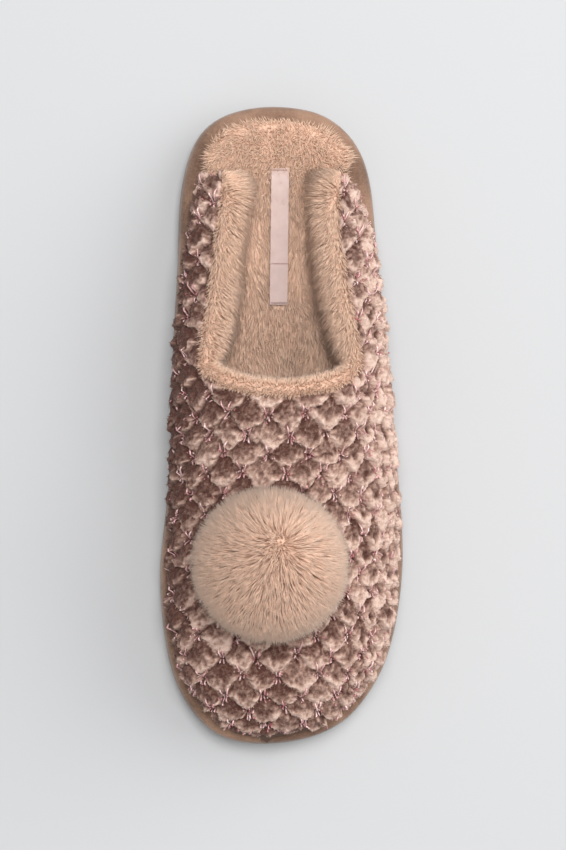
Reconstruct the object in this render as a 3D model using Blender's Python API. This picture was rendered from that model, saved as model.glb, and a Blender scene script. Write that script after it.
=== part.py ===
"""A left slipper: a chunky knitted mule on a wrapped platform sole, lined with fur and topped with a pompom.

Metres, +Z up. The heel is at +Y, the toe at -Y, and the inner side of the foot at -X. The origin
is on the floor, below the middle of the shoe's box. A share along the foot runs from 0 at the heel
end of the sole to 1 at its toe end, and a share across is of half the ball width.
"""

import math

import bmesh
import bpy
import numpy as np

# Main sizes
LENGTH = 0.256
BALL_WIDTH = 0.098
INSTEP_RISE = 0.0455
HEEL_THICKNESS = 0.0200
FOREFOOT_THICKNESS = 0.0160
TOE_SPRING = 0.0065
HEEL_BEVEL = 0.0020
ARCH_LIFT = 0.0010
GAP = 0.0003

# Outsole
OUTSOLE_THICKNESS = 0.0040
OUTSOLE_INSET = 0.0025
TREAD_PITCH = 0.0095
TREAD_GROOVE = 0.0030
TREAD_DEPTH = 0.0016
TREAD_DRAFT = 0.0003
TREAD_CHAMFER = 0.0016

# Wrapped midsole: how far its rounded top edge reaches in
RIM_ROUND_AT_HEEL = 0.0055
RIM_ROUND_UNDER_UPPER = 0.0022

# Insole
INSOLE_THICKNESS = 0.0060
INSOLE_RIM_AT_HEEL = 0.0064
INSOLE_CLEARANCE = 0.0010

# Upper
WALL = 0.0040
SECTION_POWER = 2.3
BULGE_HEIGHT = 0.0080
BULGE_AT_WING_END = 0.0030
UNDERCUT = 0.0008
LEAST_BASE_INSET = 0.0026
WING_END = 0.105
TOE_ROUND = 0.12

# Fur roll round the collar
ROLL_WIDTH_AT_THROAT = 0.0074
ROLL_WIDTH_ON_WINGS = 0.0088
ROLL_HEIGHT = 0.0090
ROLL_STAND = 0.0015
ROLL_START = 0.118

# Pompom
POMPOM_RADIUS = 0.0265
POMPOM_HALF_HEIGHT = 0.0235
POMPOM_STAND = 0.0180
LOCK_LENGTH = 0.0035
LOCKS = 110
POMPOM_ALONG = 0.7145
POMPOM_ACROSS = -0.116
POMPOM_SEAT = 0.0006

# Tag sewn on the insole
TAG_WIDTH = 0.0070
TAG_LENGTH = 0.0546
TAG_THICKNESS = 0.0008
TAG_ALONG = 0.206
TAG_ACROSS = -0.033

# The sole's outline as (along, across), from the heel end up the outer side, round the toe and back.
OUTLINE = (
    (0.000, -0.060),
    (0.012, 0.320),
    (0.050, 0.577),
    (0.110, 0.715),
    (0.220, 0.780),
    (0.360, 0.850),
    (0.500, 0.912),
    (0.600, 0.972),
    (0.710, 1.000),
    (0.800, 0.955),
    (0.872, 0.855),
    (0.925, 0.704),
    (0.965, 0.508),
    (0.990, 0.235),
    (1.000, -0.140),
    (0.990, -0.480),
    (0.958, -0.700),
    (0.905, -0.870),
    (0.830, -0.965),
    (0.730, -1.000),
    (0.620, -0.945),
    (0.500, -0.895),
    (0.380, -0.895),
    (0.260, -0.860),
    (0.150, -0.838),
    (0.080, -0.765),
    (0.036, -0.635),
    (0.010, -0.410),
)

# The upper's sections as (along, ridge height in shares of the instep rise, ridge across).
SECTIONS = (
    (0.105, 0.34, -0.06),
    (0.200, 0.56, -0.06),
    (0.300, 0.73, -0.07),
    (0.400, 0.91, -0.08),
    (0.460, 1.00, -0.10),
    (0.550, 0.93, -0.13),
    (0.650, 0.84, -0.16),
    (0.750, 0.75, -0.17),
    (0.850, 0.66, -0.17),
    (0.920, 0.59, -0.16),
    (1.000, 0.52, -0.14),
)

# How far the knit's widest line stays inside the sole's outline: (along, inner side, outer side).
SIDE_INSETS = (
    (0.105, 0.0042, 0.0062),
    (0.180, 0.0031, 0.0030),
    (0.240, 0.0012, 0.0012),
    (0.350, 0.0002, 0.0006),
    (0.450, -0.0012, 0.0006),
    (0.550, -0.0008, 0.0012),
    (0.650, 0.0012, 0.0024),
    (0.750, 0.0022, 0.0025),
    (1.000, 0.0025, 0.0025),
)

# The collar's edge as seen from above: (along, across), from the outer wing round the throat.
COLLAR = (
    (0.030, 0.480),
    (0.120, 0.470),
    (0.200, 0.470),
    (0.290, 0.525),
    (0.350, 0.590),
    (0.402, 0.628),
    (0.428, 0.575),
    (0.446, 0.440),
    (0.456, 0.270),
    (0.462, 0.060),
    (0.461, -0.180),
    (0.452, -0.430),
    (0.440, -0.590),
    (0.422, -0.700),
    (0.400, -0.725),
    (0.345, -0.680),
    (0.290, -0.635),
    (0.200, -0.580),
    (0.120, -0.520),
    (0.030, -0.500),
)

OUTLINE_SAMPLES = 720
SOLE_STATIONS = 36
UPPER_STATIONS = 30
ARCH_POINTS = 21
COLLAR_SAMPLES = 56
ROLL_SIDES = 10


def smooth(knots, values):
    """A function through the values that bends gently and never overshoots them."""
    knots = np.array(knots, float)
    values = np.array(values, float)
    steps = np.diff(knots)
    grades = np.diff(values) / steps
    slopes = np.zeros(len(knots))
    for i in range(1, len(knots) - 1):
        before, after = grades[i - 1], grades[i]
        if before * after > 0:
            slopes[i] = 2 * before * after / (before + after)
    slopes[0], slopes[-1] = grades[0], grades[-1]

    def value(at):
        at = np.clip(at, knots[0], knots[-1])
        i = np.clip(np.searchsorted(knots, at, side="right") - 1, 0, len(steps) - 1)
        s = (at - knots[i]) / steps[i]
        start = (1 + 2 * s) * (1 - s) ** 2 * values[i] + s * (1 - s) ** 2 * steps[i] * slopes[i]
        return start + s * s * (3 - 2 * s) * values[i + 1] + s * s * (s - 1) * steps[i] * slopes[i + 1]

    return value


def spline(points, samples, closed):
    """Points evenly spread along a smooth curve through these, as a numpy array."""
    points = np.array(points, float)
    if closed:
        points = np.vstack([points[-1], points, points[:2]])
    else:
        points = np.vstack([2 * points[0] - points[1], points, 2 * points[-1] - points[-2]])
    chords = np.sqrt(np.linalg.norm(np.diff(points, axis=0), axis=1))
    knots = np.concatenate([[0], np.cumsum(chords)])
    slopes = (points[2:] - points[:-2]) / (knots[2:] - knots[:-2])[:, None]
    fine = np.linspace(knots[1], knots[-2], 12 * samples + 1)
    i = np.clip(np.searchsorted(knots, fine, side="right") - 1, 1, len(points) - 3)
    step = (knots[i + 1] - knots[i])[:, None]
    s = (fine - knots[i])[:, None] / step
    curve = (1 + 2 * s) * (1 - s) ** 2 * points[i] + s * (1 - s) ** 2 * step * slopes[i - 1]
    curve += s * s * (3 - 2 * s) * points[i + 1] + s * s * (s - 1) * step * slopes[i]
    length = np.concatenate([[0], np.cumsum(np.linalg.norm(np.diff(curve, axis=0), axis=1))])
    even = np.linspace(0, length[-1], samples + (1 if closed else 0))[: samples]
    return np.stack([np.interp(even, length, curve[:, axis]) for axis in (0, 1)], axis=1)


def place(shares):
    """Shares along and across, as x and y in metres."""
    shares = np.asarray(shares, float)
    x = shares[..., 1] * BALL_WIDTH / 2
    y = LENGTH / 2 - shares[..., 0] * LENGTH
    return np.stack([x, y], axis=-1)


def share_at(y):
    return (LENGTH / 2 - y) / LENGTH


def column(table, index):
    return smooth([row[0] for row in table], [row[index] for row in table])


sole_outline = spline(place(OUTLINE), OUTLINE_SAMPLES, closed=True)
instep = column(SECTIONS, 1)
ridge_across = column(SECTIONS, 2)
inner_inset = column(SIDE_INSETS, 1)
outer_inset = column(SIDE_INSETS, 2)
platform = smooth([0.0, 0.33, 0.66, 1.0], [HEEL_THICKNESS, HEEL_THICKNESS, FOREFOOT_THICKNESS, FOREFOOT_THICKNESS])
bulge = smooth([WING_END, 0.30, 0.80, 1.0], [BULGE_AT_WING_END, BULGE_HEIGHT, BULGE_HEIGHT, 0.7 * BULGE_HEIGHT])
rim_round = smooth([0.0, 0.10, 0.22, 1.0], [RIM_ROUND_AT_HEEL] * 2 + [RIM_ROUND_UNDER_UPPER] * 2)
arch_lift = smooth([0.0, 0.40, 0.48, 0.57, 1.0], [0, 0, ARCH_LIFT, 0, 0])


def lift(share):
    """How far the sole's underside curls off the floor at the toe and behind the heel."""
    toe = np.clip((share - 0.76) / 0.24, 0, None) ** 2 * TOE_SPRING
    heel = np.clip((0.07 - share) / 0.07, 0, None) ** 2 * HEEL_BEVEL
    return toe + heel


def deck(share):
    """Height of the platform's top, which carries the insole and the upper."""
    return lift(share) + platform(share)


class Plan:
    """The sole's outline moved inward, as a curve for each side that is read by y."""

    def __init__(self, inset):
        ahead = np.roll(sole_outline, -1, axis=0) - np.roll(sole_outline, 1, axis=0)
        ahead /= np.linalg.norm(ahead, axis=1)[:, None]
        inward = np.stack([ahead[:, 1], -ahead[:, 0]], axis=1)
        share = share_at(sole_outline[:, 1])
        outer = sole_outline[:, 0] > 0
        amount = np.where(outer, inset(share, 1), inset(share, -1))
        nearer_tip = np.minimum(1, np.abs(inward[:, 0]) * 1.6)
        middle = 0.5 * (inset(share, 1) + inset(share, -1))
        amount = nearer_tip * amount + (1 - nearer_tip) * middle
        curve = sole_outline + inward * amount[:, None]
        heel, toe = int(np.argmax(curve[:, 1])), int(np.argmin(curve[:, 1]))
        self.ends = (curve[heel], curve[toe])
        turned = np.roll(curve, -heel, axis=0)
        toe = (toe - heel) % len(curve)
        self.sides = {1: turned[: toe + 1], -1: np.vstack([turned[toe:], turned[:1]])[::-1]}

    def across(self, y, side):
        line = self.sides[side]
        return np.interp(-np.asarray(y), -line[:, 1], line[:, 0])


def even_inset(amount):
    return lambda share, side: amount + 0 * share


def upper_inset(share, side):
    return outer_inset(share) if side > 0 else inner_inset(share)


def base_inset(share, side):
    return np.maximum(upper_inset(share, side) + UNDERCUT, LEAST_BASE_INSET)


def insole_inset(share, side):
    """The fur sock fills the rim at the heel and stays inside the upper's wall further on."""
    under_upper = smooth([0.0, 0.06, WING_END, 1.0], [0, 0, 1, 1])(share)
    inside_wall = base_inset(np.maximum(share, WING_END), side) + WALL + INSOLE_CLEARANCE
    return (1 - under_upper) * INSOLE_RIM_AT_HEEL + under_upper * inside_wall


def sole_stations():
    """Shares between a plan's two ends, closer together where the ends are round."""
    return 0.5 - 0.5 * np.cos(np.linspace(0, math.pi, SOLE_STATIONS))


def ring(plan, height, stations):
    """A closed ring of points round the plan, heel end first and then up the outer side."""
    heel, toe = plan.ends
    y = heel[1] + stations * (toe[1] - heel[1])
    outer, inner = plan.across(y, 1), plan.across(y, -1)
    outer[0] = inner[0] = heel[0]
    outer[-1] = inner[-1] = toe[0]
    x = np.concatenate([outer, inner[-2:0:-1]])
    y = np.concatenate([y, y[-2:0:-1]])
    return np.stack([x, y, height(share_at(y), y) + 0 * y], axis=1)


def make_node(name, points, faces, material):
    mesh = bpy.data.meshes.new(name)
    mesh.from_pydata([tuple(map(float, p)) for p in points], [], [tuple(map(int, f)) for f in faces])
    work = bmesh.new()
    work.from_mesh(mesh)
    bmesh.ops.remove_doubles(work, verts=work.verts, dist=2e-6)
    bmesh.ops.recalc_face_normals(work, faces=work.faces)
    work.to_mesh(mesh)
    work.free()
    mesh.shade_smooth()
    mesh.set_sharp_from_angle(angle=math.radians(40))
    mesh.materials.append(material)
    node = bpy.data.objects.new(name, mesh)
    bpy.context.scene.collection.objects.link(node)
    return node


def loft(name, rings, material):
    """A solid from rings stacked upward, closed below and above by rungs from side to side."""
    count = len(rings[0])
    toe = count // 2
    faces = []
    for level in range(len(rings) - 1):
        low, high = level * count, (level + 1) * count
        for i in range(count):
            j = (i + 1) % count
            faces.append((low + i, low + j, high + j, high + i))
    for start in (0, (len(rings) - 1) * count):
        faces.append((start, start + 1, start + count - 1))
        for i in range(1, toe - 1):
            faces.append((start + i, start + i + 1, start + count - i - 1, start + count - i))
        faces.append((start + toe - 1, start + toe, start + toe + 1))
    return make_node(name, np.vstack(rings), faces, material)


def paint(name, colour, roughness, metallic=0.0):
    material = bpy.data.materials.new(name)
    material.use_nodes = True
    shader = material.node_tree.nodes["Principled BSDF"]
    shader.inputs["Base Color"].default_value = (*colour, 1)
    shader.inputs["Roughness"].default_value = roughness
    shader.inputs["Metallic"].default_value = metallic
    material.diffuse_color = (*colour, 1)
    return material


def tread_height(y):
    """Height of the tread above the sole's lowest face: 0 on a rib and the depth in a groove."""
    place_in_pitch = (y + LENGTH) % TREAD_PITCH
    rise = np.clip(place_in_pitch / TREAD_DRAFT, 0, 1)
    fall = np.clip((TREAD_GROOVE - place_in_pitch) / TREAD_DRAFT, 0, 1)
    return TREAD_DEPTH * np.minimum(rise, fall)


def tread_stations(plan):
    """Shares between the plan's ends at each corner of each groove, and at both round ends."""
    heel, toe = plan.ends[0][1], plan.ends[1][1]
    corners = []
    for groove in range(math.ceil(2 * LENGTH / TREAD_PITCH)):
        start = groove * TREAD_PITCH - LENGTH
        corners += [start, start + TREAD_DRAFT, start + TREAD_GROOVE - TREAD_DRAFT, start + TREAD_GROOVE]
    inside = [(heel - y) / (heel - toe) for y in corners if toe + 0.006 < y < heel - 0.006]
    ends = [0, 0.002, 0.006, 0.013, 0.022]
    return np.array(ends + sorted(inside) + [1 - share for share in reversed(ends)])


def make_outsole():
    lower = Plan(even_inset(OUTSOLE_INSET + TREAD_CHAMFER))
    stations = tread_stations(lower)

    def foot(share, y):
        return lift(share) + arch_lift(share) + tread_height(y)

    def shoulder(share, y):
        return foot(share, y) + TREAD_CHAMFER

    def top(share, y):
        return lift(share) + OUTSOLE_THICKNESS

    edge = Plan(even_inset(OUTSOLE_INSET))
    rings = [ring(lower, foot, stations), ring(edge, shoulder, stations), ring(edge, top, stations)]
    return loft("outsole", rings, paint("Outsole rubber", (0.30, 0.22, 0.17), 0.7))


def make_midsole():
    # Rows: inset from the outline, and share of the band's height
    band = ((0.0030, 0.0), (0.0012, 0.10), (0.0003, 0.28), (0.0, 0.50), (0.0005, 0.72))
    rows = [(even_inset(inset), rise) for inset, rise in band]
    for turn in (0.35, 0.70, 1.0):
        reach = 1 - math.cos(turn * math.pi / 2)
        rows.append((lambda share, side, reach=reach: 0.0005 + rim_round(share) * reach,
                     0.72 + 0.28 * math.sin(turn * math.pi / 2)))
    rings = []
    for inset, rise in rows:
        def height(share, y, rise=rise):
            bottom = lift(share) + OUTSOLE_THICKNESS + GAP
            return bottom + rise * (deck(share) - bottom)
        rings.append(ring(Plan(inset), height, sole_stations()))
    return loft("midsole", rings, paint("Wrapped suede", (0.42, 0.28, 0.21), 0.85))


def insole_top(share):
    return deck(share) + GAP + INSOLE_THICKNESS


def make_insole():
    # Rows: further inset, and share of the insole's thickness
    profile = ((0.0004, 0.0), (0.0, 0.35), (0.0004, 0.68), (0.0016, 0.92), (0.0040, 1.0))
    rings = []
    for further, rise in profile:
        def inset(share, side, further=further):
            return insole_inset(share, side) + further
        def height(share, y, rise=rise):
            return deck(share) + GAP + rise * INSOLE_THICKNESS
        rings.append(ring(Plan(inset), height, sole_stations()))
    return loft("insole", rings, paint("Insole fur", (0.56, 0.35, 0.25), 0.95))


def toe_round(y, toe_y):
    """1 over most of the upper, and down to 0 as a round nose at the toe end."""
    reach = TOE_ROUND * LENGTH
    near = np.clip((toe_y + reach - y) / reach, 0, 1)
    return np.sqrt(1 - near**2)


def section(y, widest, wall):
    """Centre line, half widths, height of the widest line and rise of one section across the upper."""
    share = share_at(y)
    nose = toe_round(y, widest.ends[1][1])
    outer, inner = widest.across(y, 1), widest.across(y, -1)
    middle = 0.5 * (outer + inner)
    aim = ridge_across(share) * BALL_WIDTH / 2
    ridge = middle + (aim - middle) * nose
    low = deck(share) + GAP + bulge(share)
    rise = np.maximum((INSTEP_RISE * instep(share) - bulge(share) - wall) * nose, 0)
    return ridge, outer - ridge, ridge - inner, low, rise


def upper_skin(wall):
    """Rows of points over the upper, from the wings' ends to the toe, each from the outer side to the inner."""
    widest = Plan(lambda share, side: upper_inset(share, side) + wall)
    base = Plan(lambda share, side: base_inset(share, side) + wall)
    start = place((WING_END, 0))[1]
    spread = np.sin(np.linspace(0, math.pi / 2, UPPER_STATIONS))
    rows = []
    for amount in spread:
        y = start + amount * (widest.ends[1][1] - start)
        foot_y = start + amount * (base.ends[1][1] - start)
        ridge, outer, inner, low, rise = section(y, widest, wall)
        at_toe = amount == spread[-1]
        if at_toe:
            ridge, outer, inner = widest.ends[1][0], 0, 0
        row = []
        for turn in np.linspace(0, math.pi, ARCH_POINTS):
            c, s = math.cos(turn), math.sin(turn)
            side = outer if c > 0 else inner
            x = ridge + math.copysign(abs(c) ** (2 / SECTION_POWER), c) * side
            row.append((x, y, low + abs(s) ** (2 / SECTION_POWER) * rise))
        feet = [base.ends[1][0]] * 2 if at_toe else [base.across(foot_y, 1), base.across(foot_y, -1)]
        ground = deck(share_at(foot_y)) + GAP
        rows.append([(feet[0], foot_y, ground)] + row + [(feet[1], foot_y, ground)])
    return np.array(rows, float)


def upper_height(x, y):
    """Height of the knit's outer face above a point of the plan."""
    ridge, outer, inner, low, rise = section(y, outer_skin_plan, 0)
    reach = np.abs(x - ridge) / np.where(x > ridge, outer, inner)
    return low + rise * np.clip(1 - reach**SECTION_POWER, 0, 1) ** (1 / SECTION_POWER)


def make_collar_cutter():
    """A tall prism on the collar's plan, open toward the heel."""
    edge = spline(place(COLLAR), COLLAR_SAMPLES, closed=False)
    behind = LENGTH
    outline = np.vstack([(edge[0][0], behind), edge, (edge[-1][0], behind)])
    count = len(outline)
    points = [(x, y, z) for z in (-0.05, 0.25) for x, y in outline]
    faces = [tuple(range(count)), tuple(range(2 * count - 1, count - 1, -1))]
    faces += [(i, (i + 1) % count, count + (i + 1) % count, count + i) for i in range(count)]
    cutter = make_node("collar_cutter", points, faces, paint("Cutter", (1, 0, 0), 0.5))
    cutter.hide_render = True
    cutter.display_type = "WIRE"
    return cutter


def make_upper():
    outside, inside = upper_skin(0), upper_skin(WALL)
    rows, columns = outside.shape[:2]
    points = np.vstack([outside.reshape(-1, 3), inside.reshape(-1, 3)])
    far = rows * columns

    def at(skin, row, step):
        return skin * far + row * columns + step

    faces = []
    for row in range(rows - 1):
        for step in range(columns - 1):
            for skin in (0, 1):
                faces.append((at(skin, row, step), at(skin, row + 1, step),
                              at(skin, row + 1, step + 1), at(skin, row, step + 1)))
        for step in (0, columns - 1):
            faces.append((at(0, row, step), at(0, row + 1, step), at(1, row + 1, step), at(1, row, step)))
    for step in range(columns - 1):
        faces.append((at(0, 0, step), at(0, 0, step + 1), at(1, 0, step + 1), at(1, 0, step)))
    upper = make_node("upper", points, faces, paint("Chenille knit", (0.32, 0.19, 0.15), 0.9))
    cut = upper.modifiers.new("Collar opening", "BOOLEAN")
    cut.object = make_collar_cutter()
    cut.solver = "EXACT"
    return upper


def make_fur_roll():
    """A soft roll of lining that stands along the inside of the collar's edge, from wing to wing."""
    edge = spline(place(COLLAR), 4 * COLLAR_SAMPLES, closed=False)
    edge = edge[share_at(edge[:, 1]) > ROLL_START]
    edge = edge[np.linspace(0, len(edge) - 1, COLLAR_SAMPLES).round().astype(int)]
    ahead = np.gradient(edge, axis=0)
    ahead /= np.linalg.norm(ahead, axis=1)[:, None]
    inward = np.stack([ahead[:, 1], -ahead[:, 0]], axis=1)
    width = smooth([0.10, 0.36, 0.44, 1.0], [ROLL_WIDTH_ON_WINGS] * 2 + [ROLL_WIDTH_AT_THROAT] * 2)
    height = upper_height(edge[:, 0], edge[:, 1])
    points = []
    last = COLLAR_SAMPLES - 1
    for i, (x, y) in enumerate(edge):
        end = min(i, last - i) / 4
        swell = math.sqrt(1 - (1 - min(end, 1)) ** 2) if end else 0.0
        swell = 0.35 + 0.65 * swell
        half_width = width(share_at(y)) / 2 * swell
        half_height = ROLL_HEIGHT / 2 * swell
        floor = insole_top(share_at(y)) + GAP + half_height
        centre_z = max(height[i] + ROLL_STAND - half_height, floor)
        centre = (x + inward[i][0] * (GAP + half_width), y + inward[i][1] * (GAP + half_width))
        for side in range(ROLL_SIDES):
            turn = 2 * math.pi * side / ROLL_SIDES
            out = half_width * math.cos(turn)
            points.append((centre[0] + inward[i][0] * out, centre[1] + inward[i][1] * out,
                           centre_z + half_height * math.sin(turn)))
    faces = [tuple(range(ROLL_SIDES)), tuple(last * ROLL_SIDES + side for side in range(ROLL_SIDES))]
    for i in range(last):
        for side in range(ROLL_SIDES):
            a, b = i * ROLL_SIDES + side, i * ROLL_SIDES + (side + 1) % ROLL_SIDES
            faces.append((a, b, b + ROLL_SIDES, a + ROLL_SIDES))
    return make_node("collar_fur", points, faces, paint("Collar fur", (0.62, 0.42, 0.32), 0.95))


def make_pompom():
    """A ball of fur with locks raised on it, flattened below where it is sewn to the vamp."""
    x, y = place((POMPOM_ALONG, POMPOM_ACROSS))
    centre = np.array([x, y, upper_height(x, y) + POMPOM_STAND])
    tips = []
    for i in range(LOCKS):
        z = 1 - 2 * (i + 0.5) / LOCKS
        turn = i * math.pi * (3 - math.sqrt(5))
        level = math.sqrt(1 - z * z)
        tips.append((level * math.cos(turn), level * math.sin(turn), z))
    tips = np.array(tips)
    ball = bmesh.new()
    bmesh.ops.create_icosphere(ball, subdivisions=4, radius=1)
    spacing = math.sqrt(4 * math.pi / LOCKS) / 2
    for vert in ball.verts:
        aim = np.array(vert.co)
        aim /= np.linalg.norm(aim)
        nearest = math.acos(min(1, float((tips @ aim).max())))
        lock = LOCK_LENGTH * max(0.0, 1 - nearest / spacing)
        spread = np.array([POMPOM_RADIUS + lock, POMPOM_RADIUS + lock, POMPOM_HALF_HEIGHT + lock])
        spot = centre + aim * spread
        spot[2] = max(spot[2], float(upper_height(spot[0], spot[1])) + POMPOM_SEAT)
        vert.co = spot
    mesh = bpy.data.meshes.new("pompom")
    ball.to_mesh(mesh)
    ball.free()
    mesh.shade_smooth()
    mesh.materials.append(paint("Pompom fur", (0.57, 0.36, 0.26), 0.95))
    pompom = bpy.data.objects.new("pompom", mesh)
    bpy.context.scene.collection.objects.link(pompom)
    return pompom


def make_tag():
    """A plain woven tag, sewn flat along the insole."""
    x, y = place((TAG_ALONG, TAG_ACROSS))
    steps = np.linspace(y + TAG_LENGTH / 2, y - TAG_LENGTH / 2, 8)
    points, faces = [], []
    for spot in steps:
        low = insole_top(share_at(spot)) + GAP
        for z in (low, low + TAG_THICKNESS):
            points += [(x - TAG_WIDTH / 2, spot, z), (x + TAG_WIDTH / 2, spot, z)]
    for i in range(len(steps) - 1):
        a = 4 * i
        faces += [(a, a + 1, a + 5, a + 4), (a + 2, a + 3, a + 7, a + 6)]
        faces += [(a, a + 2, a + 6, a + 4), (a + 1, a + 3, a + 7, a + 5)]
    faces += [(0, 1, 3, 2), (a + 4, a + 5, a + 7, a + 6)]
    return make_node("tag", points, faces, paint("Woven tag", (0.78, 0.58, 0.55), 0.7))


for leftover in list(bpy.data.objects):
    bpy.data.objects.remove(leftover, do_unlink=True)

outer_skin_plan = Plan(upper_inset)
make_outsole()
make_midsole()
make_insole()
make_upper()
make_fur_roll()
make_pompom()
make_tag()
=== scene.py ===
"""A left knitted slipper, dressed: chenille knit, fur lining, fur pompom and a suede-wrapped platform."""

import math

import bmesh
import bpy
import numpy as np
from mathutils import Matrix, Vector, noise


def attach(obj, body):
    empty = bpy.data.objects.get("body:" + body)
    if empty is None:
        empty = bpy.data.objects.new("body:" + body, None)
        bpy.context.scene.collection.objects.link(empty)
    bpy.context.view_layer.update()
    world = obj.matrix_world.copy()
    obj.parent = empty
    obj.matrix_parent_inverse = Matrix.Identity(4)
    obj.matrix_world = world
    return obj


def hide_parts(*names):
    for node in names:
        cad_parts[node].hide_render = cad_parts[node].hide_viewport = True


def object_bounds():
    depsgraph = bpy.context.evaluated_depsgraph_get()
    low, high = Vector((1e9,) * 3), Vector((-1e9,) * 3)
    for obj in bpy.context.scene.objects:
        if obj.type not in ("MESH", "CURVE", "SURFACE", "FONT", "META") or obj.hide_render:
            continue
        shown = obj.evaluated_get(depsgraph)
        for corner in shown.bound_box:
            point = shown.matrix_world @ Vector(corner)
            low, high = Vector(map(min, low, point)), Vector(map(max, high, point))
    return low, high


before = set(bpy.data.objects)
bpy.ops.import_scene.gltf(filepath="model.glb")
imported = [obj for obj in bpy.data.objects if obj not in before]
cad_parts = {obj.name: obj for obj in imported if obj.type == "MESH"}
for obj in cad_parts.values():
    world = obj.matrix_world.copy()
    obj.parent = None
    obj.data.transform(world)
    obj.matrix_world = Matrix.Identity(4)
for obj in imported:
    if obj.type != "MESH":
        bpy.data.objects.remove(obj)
cad_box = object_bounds()
scene = bpy.context.scene

# The floor, the light and the camera. The slipper stands on a pale floor. A large soft light stands
# off its outer side, and a smaller one hangs above, a little behind its heel. The camera looks
# nearly straight down on it.
PHOTO_HEIGHT_PX = 850
SHOE_HEIGHT_PX = 640
CAMERA_HEIGHT = 1.30
CAMERA_TO_INNER_SIDE = 0.059
AIM = Vector((0.0, 0.0, 0.022))


class Maths:
    """A shader socket that takes part in Python sums, each of which adds its Math node."""

    def __init__(self, tree, socket):
        self.tree = tree
        self.socket = socket

    def step(self, operation, *values, clamp=False):
        node = self.tree.nodes.new("ShaderNodeMath")
        node.operation = operation
        node.use_clamp = clamp
        for socket, value in zip(node.inputs, values):
            if isinstance(value, Maths):
                self.tree.links.new(value.socket, socket)
            else:
                socket.default_value = value
        return Maths(self.tree, node.outputs[0])

    def __add__(self, other):
        return self.step("ADD", self, other)

    def __mul__(self, other):
        return self.step("MULTIPLY", self, other)

    def __sub__(self, other):
        return self.step("SUBTRACT", self, other)

    def __rsub__(self, other):
        return self.step("SUBTRACT", other, self)

    __radd__, __rmul__ = __add__, __mul__

    def kept_in(self):
        return self.step("ADD", self, 0.0, clamp=True)


class Finish:
    """One material: a Principled shader with its constant values, and a way to add nodes that feed it."""

    def __init__(self, name, colour, roughness, **constants):
        self.material = bpy.data.materials.new(name)
        self.material.use_nodes = True
        self.tree = self.material.node_tree
        self.shader = self.tree.nodes["Principled BSDF"]
        self.shader.inputs["Base Color"].default_value = (*colour, 1)
        self.shader.inputs["Roughness"].default_value = roughness
        for socket, value in constants.items():
            self.shader.inputs[socket.replace("_", " ")].default_value = value

    def node(self, kind, settings, values, output=0):
        made = self.tree.nodes.new(kind)
        for setting, value in settings.items():
            setattr(made, setting, value)
        for socket, value in values.items():
            if isinstance(value, Maths):
                self.tree.links.new(value.socket, made.inputs[socket])
            else:
                made.inputs[socket].default_value = value
        return Maths(self.tree, made.outputs[output])

    def place(self):
        return self.node("ShaderNodeTexCoord", {}, {}, "Object")

    def grain(self, scale, detail=3.0, roughness=0.55):
        values = {"Scale": scale, "Detail": detail, "Roughness": roughness, "Vector": self.place()}
        return self.node("ShaderNodeTexNoise", {}, values, "Fac")

    def attribute(self, name):
        return self.node("ShaderNodeAttribute", {"attribute_name": name}, {}, "Fac")

    def mixed(self, share, first, second):
        values = {0: share}
        values[6] = first if isinstance(first, Maths) else (*first, 1)
        values[7] = second if isinstance(second, Maths) else (*second, 1)
        return self.node("ShaderNodeMix", {"data_type": "RGBA"}, values, 2)

    def feed(self, socket, value):
        self.tree.links.new(value.socket, self.shader.inputs[socket])

    def relief(self, height, distance):
        self.feed("Normal", self.node("ShaderNodeBump", {}, {"Height": height, "Distance": distance}))


def link(name, data):
    """A new object at the origin with this mesh, light or camera, put into the scene."""
    made = bpy.data.objects.new(name, data)
    scene.collection.objects.link(made)
    return made


def add_light(name, size, power, position, colour):
    lamp = bpy.data.lights.new(name, "AREA")
    lamp.shape = "DISK"
    lamp.size = size
    lamp.energy = power
    lamp.color = colour
    light = link(name, lamp)
    light.location = position
    light.rotation_euler = (AIM - Vector(position)).to_track_quat("-Z", "Y").to_euler()


floor_mesh = bpy.data.meshes.new("floor")
floor_shape = bmesh.new()
bmesh.ops.create_grid(floor_shape, x_segments=1, y_segments=1, size=3.0)
floor_shape.to_mesh(floor_mesh)
floor_shape.free()
floor = link("floor", floor_mesh)
floor_finish = Finish("Pale floor", (0.60, 0.62, 0.65), 0.9)
floor_tone = floor_finish.mixed(floor_finish.grain(3.0), (0.595, 0.615, 0.645), (0.605, 0.625, 0.655))
floor_finish.feed("Base Color", floor_tone)
floor_mesh.materials.append(floor_finish.material)

add_light("key light", 1.8, 14.5, (1.15, 0.45, 0.95), (1.0, 0.97, 0.93))
add_light("top light", 0.8, 30.5, (0.0, 0.36, 2.2), (1.0, 0.98, 0.95))
world = bpy.data.worlds.new("Studio")
world.use_nodes = True
world.node_tree.nodes["Background"].inputs["Color"].default_value = (1.0, 0.985, 0.96, 1)
world.node_tree.nodes["Background"].inputs["Strength"].default_value = 0.42
scene.world = world
scene.view_settings.view_transform = "Standard"

camera_data = bpy.data.cameras.new("camera")
camera = link("camera", camera_data)
camera.location = (-CAMERA_TO_INNER_SIDE, 0.003, CAMERA_HEIGHT)
toward = (AIM - camera.location).normalized()
sideways = toward.cross(Vector((0, 1, 0))).normalized()
upward = sideways.cross(toward)
camera.rotation_euler = Matrix((sideways, upward, -toward)).transposed().to_euler()
camera_data.sensor_fit = "VERTICAL"
camera_data.sensor_height = 24.0
seen_height = (cad_box[1][1] - cad_box[0][1]) * PHOTO_HEIGHT_PX / SHOE_HEIGHT_PX
camera_data.lens = camera_data.sensor_height * (AIM - camera.location).length / seen_height
scene.camera = camera


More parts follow.
